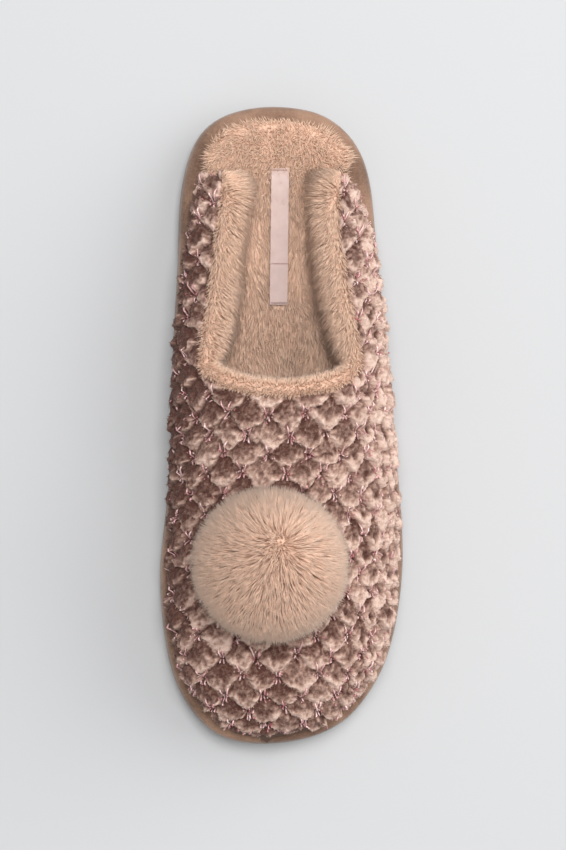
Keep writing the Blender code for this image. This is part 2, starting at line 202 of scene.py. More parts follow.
# The outsole: a thin sole of brown rubber, glued under the platform. It is moulded with cross ribs
# and has a faint speckle.
def keep_shape(name, node):
    """A piece with a CAD node's own shape, as one merged and smoothly shaded mesh."""
    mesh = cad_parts[node].data.copy()
    mesh.name = name
    mesh.materials.clear()
    work = bmesh.new()
    work.from_mesh(mesh)
    bmesh.ops.remove_doubles(work, verts=work.verts, dist=1e-6)
    bmesh.ops.dissolve_limit(work, angle_limit=math.radians(0.5), verts=work.verts, edges=work.edges)
    work.to_mesh(mesh)
    work.free()
    mesh.shade_smooth()
    mesh.set_sharp_from_angle(angle=math.radians(38))
    return link(name, mesh)


def settle(piece, slot, *nodes):
    """Rides a piece on the slipper and, where it stands for CAD nodes, hides them. The finish name it is
    given is not used.
    """
    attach(piece, "root")
    if nodes:
        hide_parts(*nodes)


rubber_sole = keep_shape("rubber_sole", "outsole")
rubber = Finish("Brown sole rubber", (0.26, 0.18, 0.135), 0.62)
speckle = rubber.grain(900.0, 2.0)
rubber.feed("Base Color", rubber.mixed(rubber.grain(60.0), (0.22, 0.15, 0.11), (0.30, 0.21, 0.16)))
rubber.feed("Roughness", 0.52 + speckle * 0.22)
rubber.relief(speckle, 0.0002)
rubber_sole.data.materials.append(rubber.material)
settle(rubber_sole, "sole_rubber", "outsole")

# The platform: foam wrapped in taupe suede cloth. The cloth is drawn tight over a rounded edge and
# glued under the insole, so the rim is smooth, with a faint nap.
LENGTH = 0.256
BALL_WIDTH = 0.098
HEEL_THICKNESS = 0.0200
FOREFOOT_THICKNESS = 0.0160
TOE_SPRING = 0.0065
TOE_SPRING_FROM = 0.76
HEEL_BEVEL = 0.0020
HEEL_BEVEL_TO = 0.07
GAP = 0.0003
OUTSOLE_THICKNESS = 0.0040
RIM_ROUND_AT_HEEL = 0.0055
RIM_ROUND_UNDER_UPPER = 0.0022

# The sole's outline as (along, across): shares of the length from the heel, and of half the ball width.
OUTLINE = (
    (0.000, -0.060), (0.012, 0.320), (0.050, 0.577), (0.110, 0.715), (0.220, 0.780), (0.360, 0.850),
    (0.500, 0.912), (0.600, 0.972), (0.710, 1.000), (0.800, 0.955), (0.872, 0.855), (0.925, 0.704),
    (0.965, 0.508), (0.990, 0.235), (1.000, -0.140), (0.990, -0.480), (0.958, -0.700), (0.905, -0.870),
    (0.830, -0.965), (0.730, -1.000), (0.620, -0.945), (0.500, -0.895), (0.380, -0.895), (0.260, -0.860),
    (0.150, -0.838), (0.080, -0.765), (0.036, -0.635), (0.010, -0.410),
)


def bend(s, start, end, start_slope, end_slope):
    """A cubic from start to end as s goes from 0 to 1, with these slopes at its ends."""
    first = (1 + 2 * s) * (1 - s) ** 2 * start + s * (1 - s) ** 2 * start_slope
    return first + s * s * (3 - 2 * s) * end + s * s * (s - 1) * end_slope


def smooth(knots, values):
    """A function through the values that bends gently and never overshoots them."""
    knots = np.array(knots, float)
    values = np.array(values, float)
    steps = np.diff(knots)
    grades = np.diff(values) / steps
    slopes = np.zeros(len(knots))
    for i in range(1, len(knots) - 1):
        before, after = grades[i - 1], grades[i]
        if before * after > 0:
            slopes[i] = 2 * before * after / (before + after)
    slopes[0], slopes[-1] = grades[0], grades[-1]

    def value(at):
        at = np.clip(at, knots[0], knots[-1])
        i = np.clip(np.searchsorted(knots, at, side="right") - 1, 0, len(steps) - 1)
        s = (at - knots[i]) / steps[i]
        return bend(s, values[i], values[i + 1], steps[i] * slopes[i], steps[i] * slopes[i + 1])

    return value


def spline(points, samples, closed):
    """Points evenly spread along a smooth curve through these, as a numpy array."""
    points = np.array(points, float)
    if closed:
        points = np.vstack([points[-1], points, points[:2]])
    else:
        points = np.vstack([2 * points[0] - points[1], points, 2 * points[-1] - points[-2]])
    chords = np.sqrt(np.linalg.norm(np.diff(points, axis=0), axis=1))
    knots = np.concatenate([[0], np.cumsum(chords)])
    slopes = (points[2:] - points[:-2]) / (knots[2:] - knots[:-2])[:, None]
    fine = np.linspace(knots[1], knots[-2], 12 * samples + 1)
    i = np.clip(np.searchsorted(knots, fine, side="right") - 1, 1, len(points) - 3)
    step = (knots[i + 1] - knots[i])[:, None]
    s = (fine - knots[i])[:, None] / step
    curve = bend(s, points[i], points[i + 1], step * slopes[i - 1], step * slopes[i])
    length = np.concatenate([[0], np.cumsum(np.linalg.norm(np.diff(curve, axis=0), axis=1))])
    even = np.linspace(0, length[-1], samples + (1 if closed else 0))[:samples]
    return np.stack([np.interp(even, length, curve[:, axis]) for axis in (0, 1)], axis=1)


def place(shares):
    """Shares along and across, as x and y in metres."""
    shares = np.asarray(shares, float)
    return np.stack([shares[..., 1] * BALL_WIDTH / 2, LENGTH / 2 - shares[..., 0] * LENGTH], axis=-1)


def share_at(y):
    return (LENGTH / 2 - y) / LENGTH


sole_outline = spline(place(OUTLINE), 720, closed=True)
ahead = np.roll(sole_outline, -1, axis=0) - np.roll(sole_outline, 1, axis=0)
ahead /= np.linalg.norm(ahead, axis=1)[:, None]
sole_inward = np.stack([ahead[:, 1], -ahead[:, 0]], axis=1)
platform = smooth([0.0, 0.33, 0.66, 1.0], [HEEL_THICKNESS] * 2 + [FOREFOOT_THICKNESS] * 2)
rim_round = smooth([0.0, 0.10, 0.22, 1.0], [RIM_ROUND_AT_HEEL] * 2 + [RIM_ROUND_UNDER_UPPER] * 2)


def lift(share):
    """How far the sole's underside curls off the floor at the toe and behind the heel."""
    toe = np.clip((share - TOE_SPRING_FROM) / (1 - TOE_SPRING_FROM), 0, None) ** 2 * TOE_SPRING
    return toe + np.clip((HEEL_BEVEL_TO - share) / HEEL_BEVEL_TO, 0, None) ** 2 * HEEL_BEVEL


def deck(share):
    """Height of the platform's top, which carries the insole and the upper."""
    return lift(share) + platform(share)


def inset_outline(inset):
    """The sole's outline moved inward by inset(share, side), and by the sides' mean at its two tips."""
    share = share_at(sole_outline[:, 1])
    amount = np.where(sole_outline[:, 0] > 0, inset(share, 1), inset(share, -1))
    nearer_tip = np.minimum(1, np.abs(sole_inward[:, 0]) * 1.6)
    middle = 0.5 * (inset(share, 1) + inset(share, -1))
    amount = nearer_tip * amount + (1 - nearer_tip) * middle
    return sole_outline + sole_inward * amount[:, None]


def finish_mesh(work, name, material):
    """An object at the origin from a bmesh, with its faces turned out and shaded smooth."""
    bmesh.ops.recalc_face_normals(work, faces=work.faces)
    mesh = bpy.data.meshes.new(name)
    work.to_mesh(mesh)
    work.free()
    mesh.shade_smooth()
    mesh.set_sharp_from_angle(angle=math.radians(50))
    mesh.materials.append(material)
    return link(name, mesh)


def raise_rings(rings):
    """A closed solid bridged from each ring of points to the next, and filled at both ends."""
    work = bmesh.new()
    loops = []
    for points in rings:
        verts = [work.verts.new(point) for point in points]
        loops.append([work.edges.new((verts[i - 1], verts[i])) for i in range(len(verts))])
    for low, high in zip(loops, loops[1:]):
        bmesh.ops.bridge_loops(work, edges=low + high)
    for loop in (loops[0], loops[-1]):
        bmesh.ops.edgeloop_fill(work, edges=loop)
    return work


def outline_ring(inset, height):
    """Every third point of an inset outline, at height(share)."""
    plan = inset_outline(inset)[::3]
    return np.column_stack([plan, height(share_at(plan[:, 1]))])


RIM_INSET = 0.0005
RIM_FROM = 0.72
UNDER_INSOLE = 0.008

# Each pair is a ring of the band: how far inside the outline it lies, and its share of the height.
BAND = (
    (0.0030, 0.0), (0.0018, 0.04), (0.0012, 0.10), (0.0003, 0.28), (0.0, 0.50), (0.0003, 0.64),
    (RIM_INSET, RIM_FROM),
)


def band_inset(fixed, of_round):
    return lambda share, side: fixed + rim_round(share) * of_round


band_rings = [(band_inset(inset, 0), rise) for inset, rise in BAND]
for turn in (0.2, 0.4, 0.6, 0.8, 1.0):
    corner = turn * math.pi / 2
    rim_rise = RIM_FROM + (1 - RIM_FROM) * math.sin(corner)
    band_rings.append((band_inset(RIM_INSET, 1 - math.cos(corner)), rim_rise))
band_rings.append((band_inset(RIM_INSET + UNDER_INSOLE, 1), 1))


def band_height(rise):
    def height(share):
        bottom = lift(share) + OUTSOLE_THICKNESS + GAP
        return bottom + rise * (deck(share) - bottom)
    return height


suede = Finish("Taupe suede cloth", (0.40, 0.26, 0.19), 0.88, Sheen_Weight=0.25, Sheen_Roughness=0.45)
cloud = suede.grain(70.0, 4.0)
nap = suede.grain(1300.0, 3.0, 0.7)
mottle = ((cloud - 0.5) * 2.6 + (nap - 0.5) * 1.4 + 0.5).kept_in()
suede.feed("Base Color", suede.mixed(mottle, (0.150, 0.084, 0.056), (0.365, 0.222, 0.154)))
suede.feed("Roughness", 0.80 + nap * 0.15)
suede.relief(nap * 0.5 + suede.grain(240.0, 2.0) * 1.2 + suede.grain(55.0, 2.0) * 2.5, 0.00045)
band_solid = raise_rings([outline_ring(inset, band_height(rise)) for inset, rise in band_rings])
platform_band = finish_mesh(band_solid, "platform_band", suede.material)
settle(platform_band, "wrapped_suede", "midsole")

# The insole: a sock of short plush fur glued over the foam, trimmed just inside the rim. The pile lies
# toward the toe in small clumps, and turns out over the rim at the heel.
INSOLE_THICKNESS = 0.0060
INSOLE_RIM_AT_HEEL = 0.0064
WALL = 0.0040
WING_END = 0.105
WING_Y = LENGTH / 2 - WING_END * LENGTH
UNDERCUT = 0.0008
LEAST_BASE_INSET = 0.0026
PILE = 0.0066
PILE_ROOT_DEPTH = 0.0034
PLUSH_THICKNESS = 0.00034
HAIR_JOINT = 0.55

# How far the knit's widest line stays inside the sole's outline: (along, inner side, outer side).
SIDE_INSETS = (
    (0.105, 0.0042, 0.0062), (0.180, 0.0031, 0.0030), (0.240, 0.0012, 0.0012), (0.350, 0.0002, 0.0006),
    (0.450, -0.0012, 0.0006), (0.550, -0.0008, 0.0012), (0.650, 0.0012, 0.0024), (0.750, 0.0022, 0.0025),
    (1.000, 0.0025, 0.0025),
)


def column(table, index):
    return smooth([row[0] for row in table], [row[index] for row in table])


inner_inset = column(SIDE_INSETS, 1)
outer_inset = column(SIDE_INSETS, 2)


def upper_inset(share, side):
    return outer_inset(share) if side > 0 else inner_inset(share)


def base_inset(share, side):
    return np.maximum(upper_inset(share, side) + UNDERCUT, LEAST_BASE_INSET)


def insole_inset(share, side):
    """The fur sock fills the rim at the heel and stays inside the upper's wall further on."""
    under_upper = smooth([0.0, 0.06, WING_END, 1.0], [0, 0, 1, 1])(share)
    inside_wall = base_inset(np.maximum(share, WING_END), side) + WALL
    return (1 - under_upper) * INSOLE_RIM_AT_HEEL + under_upper * inside_wall


def inside(points, polygon):
    """Which points of the plan lie inside a closed polygon."""
    x, y = points[:, 0], points[:, 1]
    found = np.zeros(len(points), bool)
    for (x0, y0), (x1, y1) in zip(polygon, np.roll(polygon, -1, axis=0)):
        if y0 != y1:
            crosses = (y0 > y) != (y1 > y)
            found ^= crosses & (x < x0 + (y - y0) / (y1 - y0) * (x1 - x0))
    return found


def ease(low, high, values):
    """From 0 at low to 1 at high, with a gentle start and end."""
    share = np.clip((values - low) / (high - low), 0, 1)
    return share * share * (3 - 2 * share)


def unit(vectors):
    return vectors / np.maximum(np.linalg.norm(vectors, axis=-1, keepdims=True), 1e-12)


def set_values(mesh, attribute, numbers):
    """A number for each point of a mesh, which its material reads."""
    layer = mesh.attributes.new(attribute, "FLOAT", "POINT")
    layer.data.foreach_set("value", np.asarray(numbers, np.float32))


def link_mesh(name, points, faces, material, values):
    """An object at the origin from arrays, for pieces joined from thousands of small ones."""
    mesh = bpy.data.meshes.new(name)
    mesh.from_pydata(points.tolist(), [], faces)
    for attribute, numbers in values.items():
        set_values(mesh, attribute, numbers)
    mesh.shade_smooth()
    mesh.materials.append(material)
    return link(name, mesh)


def crossways(aims):
    """Two directions across each hair, turned about it at random."""
    one = unit(np.cross(aims, rng.normal(size=aims.shape)))
    return one, np.cross(aims, one)


def hair_ring(centre, one, other, radius):
    """The three corners of each hair round its centre."""
    turns = (0, 2 * math.pi / 3, 4 * math.pi / 3)
    return [centre + (one * math.cos(turn) + other * math.sin(turn)) * radius for turn in turns]


def repeat_faces(pattern, corners, count):
    """The faces of one small piece, numbered on for each of its copies."""
    faces = []
    for first in range(0, corners * count, corners):
        faces += [tuple(first + corner for corner in face) for face in pattern]
    return faces


def grow_fur(name, roots, aims, bends, lengths, thickness, tones, material):
    """One mesh of fine curved hairs: each is a three-sided needle with a closed foot."""
    aims = unit(aims)
    one, other = crossways(aims)
    corners = []
    for share, width in ((0.0, 1.0), (HAIR_JOINT, 0.75)):
        centre = roots + aims * (lengths * share)[:, None] + bends * (lengths * share**2)[:, None]
        corners += hair_ring(centre, one, other, thickness * width / 2)
    corners.append(roots + aims * lengths[:, None] + bends * lengths[:, None])
    points = np.stack(corners, axis=1).reshape(-1, 3)
    pattern = ((2, 1, 0), (0, 1, 4, 3), (1, 2, 5, 4), (2, 0, 3, 5), (3, 4, 6), (4, 5, 6), (5, 3, 6))
    along = np.tile([0] * 3 + [HAIR_JOINT] * 3 + [1], len(roots))
    faces = repeat_faces(pattern, 7, len(roots))
    return link_mesh(name, points, faces, material, {"along": along, "tone": np.repeat(tones, 7)})


def noise_at(points, scale, seed):
    """Smooth noise from -1 to 1 at each point."""
    shift = Vector((seed * 7.3, seed * 3.1, seed * 5.7))
    return np.array([noise.noise(Vector(point) * scale + shift) for point in points])


def fur_finish(name, root, tip, pale):
    """Fur: darker at the foot of each hair, paler at its tip, and a little different from hair to hair."""
    finish = Finish(name, tip, 0.75, Sheen_Weight=0.30, Sheen_Roughness=0.5)
    finish.shader.inputs["Sheen Tint"].default_value = (1.0, 0.84, 0.74, 1)
    along, tone = finish.attribute("along"), finish.attribute("tone")
    body = finish.mixed((along * 0.85 + 0.15).kept_in(), root, tip)
    finish.feed("Base Color", finish.mixed((tone * 0.8).kept_in(), body, pale))
    return finish.material


def sock_inset(further):
    return lambda share, side: insole_inset(share, side) + further


def sock_height(rise):
    return lambda share: deck(share) + GAP + rise * INSOLE_THICKNESS


insole_top = sock_height(1)
rng = np.random.default_rng(11)

# Each pair is a ring of the pad: how far inside the sock's edge it lies, and its share of the height.
INSOLE_PAD = ((0.0004, 0.0), (0.0, 0.30), (0.0006, 0.42), (0.0030, 0.52), (0.0080, 0.52))
insole_rings = [outline_ring(sock_inset(further), sock_height(rise)) for further, rise in INSOLE_PAD]
insole_cloth = Finish("Fur ground cloth", (0.82, 0.585, 0.455), 0.95)
insole_cloth.relief(insole_cloth.grain(900.0), 0.0003)
insole_pad = finish_mesh(raise_rings(insole_rings), "insole_pad", insole_cloth.material)
settle(insole_pad, "insole_fur", "insole")

TAG_WIDTH = 0.0070
TAG_LENGTH = 0.0546
tag_centre = place((0.206, -0.033))
INSOLE_HAIRS = 18500
FUR_FROM = (-0.042, -0.030)
FUR_AT_HEEL_FROM = (-0.042, 0.085)
FUR_TO = (0.042, 0.124)
HEEL_CENTRE = (0, 0.080)
heel_extra = rng.uniform(FUR_AT_HEEL_FROM, FUR_TO, (INSOLE_HAIRS // 2, 2))
spots = np.vstack([rng.uniform(FUR_FROM, FUR_TO, (2 * INSOLE_HAIRS, 2)), heel_extra])
rng.shuffle(spots)
spots = spots[inside(spots, inset_outline(sock_inset(0.0002))[::3])]
under_tag = (np.abs(spots[:, 0] - tag_centre[0]) < TAG_WIDTH / 2 - 0.0002) & (
    np.abs(spots[:, 1] - tag_centre[1]) < TAG_LENGTH / 2 - 0.0003)
spots = spots[~under_tag][:INSOLE_HAIRS]
roots = np.column_stack([spots, insole_top(share_at(spots[:, 1])) - PILE_ROOT_DEPTH])
drift = noise_at(roots, 55, 1)
swirl = noise_at(roots, 120, 2)
rim_hairs = ~inside(spots, inset_outline(sock_inset(0.0028))[::3]) & (spots[:, 1] > 0.075)
from_heel = unit(spots - HEEL_CENTRE)
near_heel = ease(0.078, 0.118, spots[:, 1]) * rng.uniform(0.3, 1, len(roots))
pull = np.maximum(rim_hairs * ease(0.075, 0.095, spots[:, 1]) * 0.9, near_heel * 0.85)
toward_rim = np.column_stack([from_heel, np.zeros(len(roots))]) * pull[:, None]
toward_toe = -0.85 + 0.35 * noise_at(roots, 90, 3)
lean = np.column_stack([0.30 * drift + 0.45 * swirl, toward_toe, np.full(len(roots), 0.62)])
lean += rng.normal(0, 0.16, lean.shape) + toward_rim * np.array([1.4, 1.7, 0])
lean[:, 0] += 0.9 * pull * noise_at(roots, 150, 4)
bends = np.array([0, -0.30, -0.30]) + rng.normal(0, 0.08, lean.shape)
bends[:, 0] += 0.3 * swirl
bends[:, 1] += 0.30 * pull
lengths = PILE * rng.uniform(0.75, 1.1, len(roots)) * np.where(rim_hairs, 0.68 + 0.5 * swirl, 1)
# Paler toward the throat: painted light against the shade under the vamp. Drift, swirl and the spread vary
# at random.
tones = 0.40 + 0.30 * drift + 0.25 * swirl + 0.45 * (1 - ease(-0.01, 0.075, spots[:, 1]))
tones = np.clip(tones + rng.normal(0, 0.10, len(roots)), 0, 1)
plush = fur_finish("Beige plush", (0.87, 0.595, 0.44), (0.94, 0.66, 0.50), (0.97, 0.72, 0.57))
insole_fur = grow_fur("insole_fur", roots, lean, bends, lengths, PLUSH_THICKNESS, tones, plush)
settle(insole_fur, "insole_fur")

# The tag: a folded woven tape, sewn flat on the fur by its two short ends and a line of stitches
# across it. It is bare.
TAG_SKEW = 0.0007
TAG_SINK = 0.0002
TAG_THICKNESS = 0.0005
STITCH_LINES = (-0.485, -0.20, 0.485)
STITCHES_IN_LINE = 7
tape = Finish("Pale pink woven tape", (0.80, 0.60, 0.56), 0.55, Sheen_Weight=0.15)


def ribs(way, scale):
    values = {"Vector": tape.place(), "Scale": scale}
    return tape.node("ShaderNodeTexWave", {"bands_direction": way}, values, "Fac")


warp, weft = ribs("X", 900.0), ribs("Y", 700.0)
tape_tone = warp * 0.25 + tape.grain(300.0) * 0.75
tape.feed("Base Color", tape.mixed(tape_tone, (0.60, 0.445, 0.42), (0.78, 0.62, 0.59)))
tape.relief(warp * 0.5 + weft * 0.5, 0.0001)
tag_shape = bmesh.new()
bmesh.ops.create_grid(tag_shape, x_segments=4, y_segments=28, size=0.5)
for vert in tag_shape.verts:
    x = tag_centre[0] + vert.co.x * TAG_WIDTH + TAG_SKEW * vert.co.y
    y = tag_centre[1] + vert.co.y * TAG_LENGTH
    wave = 0.0003 * math.sin(vert.co.y * 21) + 0.0002 * math.sin(vert.co.y * 47 + vert.co.x * 3)
    tuck = 0.0010 * max(0.0, abs(vert.co.y) - 0.46) / 0.04
    vert.co = (x, y, insole_top(share_at(y)) - TAG_SINK + wave - tuck)
bmesh.ops.solidify(tag_shape, geom=tag_shape.faces[:], thickness=TAG_THICKNESS)
tag_piece = finish_mesh(tag_shape, "bare_tag", tape.material)
settle(tag_piece, "woven_tag", "tag")
thread = Finish("Pink sewing thread", (0.52, 0.36, 0.34), 0.6)
stitches = bmesh.new()
for along_tag in STITCH_LINES:
    y = tag_centre[1] + along_tag * TAG_LENGTH
    for i in range(STITCHES_IN_LINE):
        x = tag_centre[0] + (i - STITCHES_IN_LINE // 2) * TAG_WIDTH / (STITCHES_IN_LINE + 0.5)
        spot = Vector((x, y, insole_top(share_at(y)) + 0.0006))
        made = bmesh.ops.create_uvsphere(stitches, u_segments=8, v_segments=6, radius=0.00045)["verts"]
        bmesh.ops.scale(stitches, verts=made, vec=(1.0, 0.55, 0.5))
        bmesh.ops.translate(stitches, verts=made, vec=spot)
tag_stitches = finish_mesh(stitches, "tag_stitches", thread.material)
settle(tag_stitches, "woven_tag")

# The upper's backing: a thin brushed cloth, with the knit sewn on outside and the fur lining inside.
# It lies deep under the knit's joints, deeper round the toe, and stops short of the wings' ends. Its dark
# colour is painted shade for what shows through the knit's gaps.
BACKING_DEPTH = 0.0034
BACKING_UNDER_LINING = 0.0004
BACKING_AXIS = 0.0080
TRIM_LENGTH = 0.010
TRIMMED_BACK = 0.0045
TRIMMED_DOWN = 0.35
TOE_DRAWN_IN = 0.0018
backing_piece = keep_shape("knit_backing", "upper")


def sole_middle(y):
    """Across, the middle of the sole's outline at y."""
    near = sole_outline[np.abs(sole_outline[:, 1] - y) < 0.002]
    return float(0.5 * (near[:, 0].min() + near[:, 0].max())) if len(near) else 0.0


def drawn_in(share, above_deck):
    """How far the upper is drawn in round the toe, just over the platform, by its seam."""
    return TOE_DRAWN_IN * ease(0.84, 0.96, share) * (1 - ease(0.014, 0.032, above_deck))


work = bmesh.new()
work.from_mesh(backing_piece.data)
bmesh.ops.recalc_face_normals(work, faces=work.faces)
work.normal_update()
for vert in work.verts:
    share = share_at(vert.co.y)
    axis_point = Vector((sole_middle(vert.co.y), vert.co.y, float(deck(share)) + BACKING_AXIS))
    faces_out = vert.normal.dot(vert.co - axis_point) > 0
    outer_depth = BACKING_DEPTH + float(drawn_in(share, vert.co.z - float(deck(share))))
    vert.co -= vert.normal * (outer_depth if faces_out else BACKING_UNDER_LINING)
    at_wing_end = max(0.0, 1 - (WING_Y - vert.co.y) / TRIM_LENGTH)
    vert.co.y -= TRIMMED_BACK * at_wing_end
    vert.co.z -= TRIMMED_DOWN * at_wing_end * max(0.0, vert.co.z - float(deck(share)))
work.to_mesh(backing_piece.data)
work.free()
# Dark brown: painted shade for the hollows of the knit.
backing = Finish("Dark backing cloth", (0.13, 0.075, 0.055), 0.95)
backing.relief(backing.grain(700.0), 0.0003)
backing_piece.data.materials.append(backing.material)
settle(backing_piece, "chenille_knit", "upper")

# The knit: thick chenille yarn worked in a staggered honeycomb. The yarn's plump legs lie along the
# lower sides of each stitch and meet at its foot. The middle sinks between them, and the top tucks
# under the feet of the stitches above. Its colour holds painted light: painted highlights on the legs'
# rims and raised folds, painted shade in the sunken middles, under the tucks, in creases, slits and
# pits, and over the inner side, with random tone between.
INSTEP_RISE = 0.0455
SECTION_POWER = 2.3
BULGE_HEIGHT = 0.0080
BULGE_AT_WING_END = 0.0030
TOE_ROUND = 0.12
CELL = 0.0080
STITCH_WIDTH = CELL * math.sqrt(2)
STITCH_RELIEF = 0.0032
KNIT_PROUD = 0.0006
KNIT_LOWEST = -0.0031
KNIT_STEP = 0.00053
KNIT_TURNED_IN = 0.0012
SEAM_DROP = 0.0022
SEAM_HEIGHT = 0.0140
FIRST_FOOT = (-0.0020, 0.0030)
SQUEEZE = 12.0
SQUEEZED_FROM = 0.016
SECTIONS = (
    (0.105, 0.34, -0.06), (0.200, 0.56, -0.06), (0.300, 0.73, -0.07), (0.400, 0.91, -0.08),
    (0.460, 1.00, -0.10), (0.550, 0.93, -0.13), (0.650, 0.84, -0.16), (0.750, 0.75, -0.17),
    (0.850, 0.66, -0.17), (0.920, 0.59, -0.16), (1.000, 0.52, -0.14),
)
COLLAR = (
    (0.030, 0.480), (0.120, 0.470), (0.200, 0.470), (0.290, 0.525), (0.350, 0.590), (0.402, 0.628),
    (0.428, 0.575), (0.446, 0.440), (0.456, 0.270), (0.462, 0.060), (0.461, -0.180), (0.452, -0.430),
    (0.440, -0.590), (0.422, -0.700), (0.400, -0.725), (0.345, -0.680), (0.290, -0.635), (0.200, -0.580),
    (0.120, -0.520), (0.030, -0.500),
)
instep = column(SECTIONS, 1)
ridge_across = column(SECTIONS, 2)
bulge_heights = [BULGE_AT_WING_END, BULGE_HEIGHT, BULGE_HEIGHT, 0.7 * BULGE_HEIGHT]
bulge = smooth([WING_END, 0.30, 0.80, 1.0], bulge_heights)


def sides_of(curve):
    """A closed outline as one curve for each side, read by y, and its point at the toe."""
    heel = int(np.argmax(curve[:, 1]))
    turned = np.roll(curve, -heel, axis=0)
    toe = int(np.argmin(turned[:, 1]))
    outer = turned[: toe + 1]
    inner = np.vstack([turned[toe:], turned[:1]])[::-1]
    return outer, inner, turned[toe]


def across(line, y):
    return np.interp(-y, -line[:, 1], line[:, 0])


widest_outer, widest_inner, nose_tip = sides_of(inset_outline(upper_inset))
foot_outer, foot_inner, foot_tip = sides_of(inset_outline(base_inset))


def section(y):
    """Ridge, half widths, height of the widest line and rise of the sections across the upper at y."""
    share = share_at(y)
    reach = TOE_ROUND * LENGTH
    nose = np.sqrt(1 - np.clip((nose_tip[1] + reach - y) / reach, 0, 1) ** 2)
    outer, inner = across(widest_outer, y), across(widest_inner, y)
    middle = 0.5 * (outer + inner)
    ridge = middle + (ridge_across(share) * BALL_WIDTH / 2 - middle) * nose
    low = deck(share) + GAP + bulge(share)
    rise = np.maximum((INSTEP_RISE * instep(share) - bulge(share)) * nose, 0)
    return ridge, outer - ridge, ridge - inner, low, rise


def upper_height(x, y):
    """Height of the knit's outer face above points of the plan."""
    ridge, outer, inner, low, rise = section(y)
    reach = np.abs(x - ridge) / np.maximum(np.where(x > ridge, outer, inner), 1e-6)
    return low + rise * np.clip(1 - reach**SECTION_POWER, 0, 1) ** (1 / SECTION_POWER)


STEP = 0.001
REACH = 105
ROWS = 300
NOSE_ROWS = 12
END_ROWS = 10
SECTION_POINTS = 90
WING_ROLL = 0.0036
WING_ROLL_LENGTH = 0.006
FABRIC_START_Y = -0.030


def half_section(y, side):
    """Points from the ridge down one side of the section at y, carried on straight below its foot."""
    ridge, outer, inner, low, rise = (float(value) for value in section(np.array(y)))
    rolled = WING_ROLL * (1 - math.sqrt(1 - max(0.0, 1 - (WING_Y - y) / WING_ROLL_LENGTH) ** 2))
    half = (outer if side > 0 else inner) - rolled
    rise -= rolled
    turn = np.linspace(math.pi / 2, 0, SECTION_POINTS)
    x = ridge + side * half * np.cos(turn) ** (2 / SECTION_POWER)
    z = low + rise * np.sin(turn) ** (2 / SECTION_POWER)
    share = (WING_Y - y) / (WING_Y - nose_tip[1])
    foot_y = WING_Y + share * (foot_tip[1] - WING_Y)
    foot_x = float(across(foot_outer if side > 0 else foot_inner, np.array(foot_y))) - side * rolled
    ground = float(deck(share_at(foot_y))) + GAP
    line = np.column_stack([x, np.full(SECTION_POINTS, y), z])
    line = np.vstack([line, (foot_x, foot_y, ground), (foot_x, foot_y, ground - 0.12)])
    far = np.concatenate([[0], np.cumsum(np.linalg.norm(np.diff(line, axis=0), axis=1))])
    at = np.arange(REACH + 1) * STEP
    return np.column_stack([np.interp(at, far, line[:, axis]) for axis in range(3)])


row_y = WING_Y + np.sin(np.linspace(0, math.pi / 2, ROWS)) * (nose_tip[1] + 0.0002 - WING_Y)
rows = []
for y in row_y:
    inner_half = half_section(y, -1)
    rows.append(np.vstack([inner_half[:0:-1], half_section(y, 1)]))
nose = [rows[-1] + np.array([0, 0, -STEP * step]) for step in range(1, NOSE_ROWS + 1)]
ends = [rows[0] + np.array([0, 0, -STEP * step]) for step in range(END_ROWS, 0, -1)]
rows = np.array(ends + rows + nose)
steps = np.linalg.norm(np.diff(rows, axis=0), axis=2)
far = np.vstack([np.zeros(rows.shape[1]), np.cumsum(steps, axis=0)])
start_row = END_ROWS + int(np.argmin(np.abs(row_y - FABRIC_START_Y)))
along_fabric = far[start_row] - far
V_STEPS = int(along_fabric.max() / STEP), int(along_fabric.min() / STEP)
v_grid = np.arange(V_STEPS[1], V_STEPS[0] + 1) * STEP
fabric = np.empty((len(v_grid), rows.shape[1], 3))
known = np.empty(fabric.shape[:2], bool)
for k in range(rows.shape[1]):
    order = along_fabric[::-1, k]
    for axis in range(3):
        fabric[:, k, axis] = np.interp(v_grid, order, rows[::-1, k, axis])
    known[:, k] = (v_grid >= order[0]) & (v_grid <= order[-1])
toward_outer = np.gradient(fabric, axis=1)
toward_heel = np.gradient(fabric, axis=0)
fabric_normal = unit(np.cross(toward_outer, toward_heel))


def read(grid, u, v):
    """Values of a fabric grid at distances u from the ridge and v toward the heel, in metres."""
    i = np.clip(v / STEP - V_STEPS[1], 0, grid.shape[0] - 1.001)
    k = np.clip(u / STEP + REACH, 0, grid.shape[1] - 1.001)
    i0, k0 = i.astype(int), k.astype(int)
    a, b = (i - i0)[..., None], (k - k0)[..., None]
    return ((1 - a) * (1 - b) * grid[i0, k0] + (1 - a) * b * grid[i0, k0 + 1]
            + a * (1 - b) * grid[i0 + 1, k0] + a * b * grid[i0 + 1, k0 + 1])


collar_edge = spline(place(COLLAR), 240, closed=False)
opening = np.vstack([(collar_edge[0][0], LENGTH), collar_edge, (collar_edge[-1][0], LENGTH)])


def nearest_on_collar(points):
    """For each point of the plan, the nearest collar sample and how far inside the opening it lies."""
    nearest = np.empty(len(points), int)
    distance = np.empty(len(points))
    for start in range(0, len(points), 20000):
        part = points[start:start + 20000]
        gaps = np.linalg.norm(part[:, None] - collar_edge[None], axis=2)
        nearest[start:start + 20000] = gaps.argmin(axis=1)
        distance[start:start + 20000] = gaps.min(axis=1)
    return nearest, np.where(inside(points, opening), distance, -distance)


